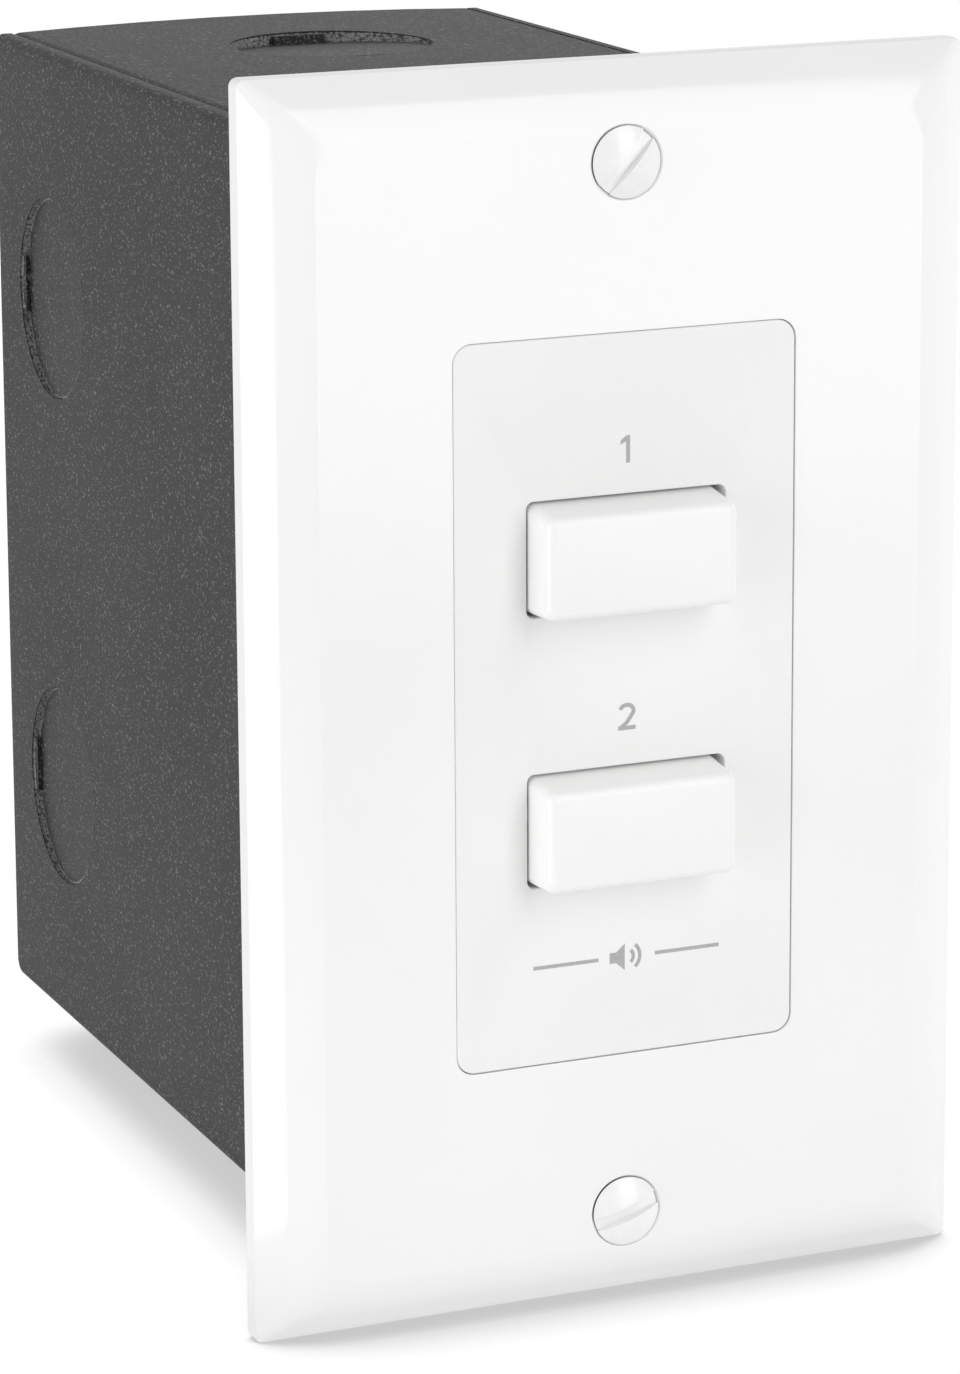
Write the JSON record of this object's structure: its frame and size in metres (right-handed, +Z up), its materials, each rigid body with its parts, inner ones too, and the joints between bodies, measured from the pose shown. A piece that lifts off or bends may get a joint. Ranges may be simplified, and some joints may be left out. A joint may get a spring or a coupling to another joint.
{
  "type": "speaker selector switch",
  "caption": "Wall-mounted selector switch with latching push buttons in a bevelled white plate, over a dark steel box with knockouts.",
  "frame": {"origin": "middle of the wall plate, on the wall plane behind its rim", "axes": "+X to the right and +Z up as seen from the room, +Y into the wall"},
  "size_m": [0.0698, 0.1018, 0.1142],
  "materials": {
    "plate_white": "moulded, glossy",
    "insert_white": "moulded, satin",
    "button_white": "moulded, semi-gloss",
    "screw_white": "white enamel",
    "zinc_steel": "zinc plated",
    "brass": "turned and stamped",
    "board_green": "solder mask on glass epoxy",
    "switch_black": "moulded",
    "phenolic_brown": "paper phenolic",
    "stem_ivory": "acetal",
    "spring_steel": "drawn wire",
    "terminal_green": "moulded",
    "tinned_copper": "tinned",
    "resistor_ceramic": "unglazed cement",
    "box_grey": "textured powder coat",
    "ground_green": "green dyed zinc"
  },
  "bodies": {
    "root": {"wall_plate": "plate_white", "plate_screws": "screw_white", "front_insert": "insert_white", "mounting_strap": "zinc_steel", "strap_screws": "zinc_steel", "insert_screws": "zinc_steel", "standoffs": "brass", "circuit_board": "board_green", "board_screws": "zinc_steel", "input_terminal_block": "terminal_green", "upper_terminal_block": "terminal_green", "lower_terminal_block": "terminal_green", "terminal_screws": "zinc_steel", "wire_clamps": "brass", "terminal_pins": "tinned_copper", "protection_resistors": "resistor_ceramic", "resistor_leads": "tinned_copper", "box_body": "box_grey", "box_side_left": "box_grey", "box_side_right": "box_grey", "ground_screw": "ground_green", "return_spring_upper": "spring_steel", "switch_housing_upper": "switch_black", "switch_base_upper": "phenolic_brown", "switch_pins_upper": "tinned_copper", "latch_pin_upper": "spring_steel", "return_spring_lower": "spring_steel", "switch_housing_lower": "switch_black", "switch_base_lower": "phenolic_brown", "switch_pins_lower": "tinned_copper", "latch_pin_lower": "spring_steel"},
    "upper_button": {"button_cap_upper": "button_white", "plunger_upper": "stem_ivory", "contact_bridges_upper": "brass"},
    "lower_button": {"button_cap_lower": "button_white", "plunger_lower": "stem_ivory", "contact_bridges_lower": "brass"}
  },
  "joints": [
    {"name": "upper_button_press", "type": "slide", "parent": "root", "child": "upper_button", "axis": [0, 1, 0], "range_m": [0, 0.0035], "stiffness_N_per_m": 400, "springref_m": -0.002, "deforming": ["return_spring_upper"]},
    {"name": "lower_button_press", "type": "slide", "parent": "root", "child": "lower_button", "axis": [0, 1, 0], "range_m": [0, 0.0035], "stiffness_N_per_m": 400, "springref_m": -0.002, "deforming": ["return_spring_lower"]}
  ]
}
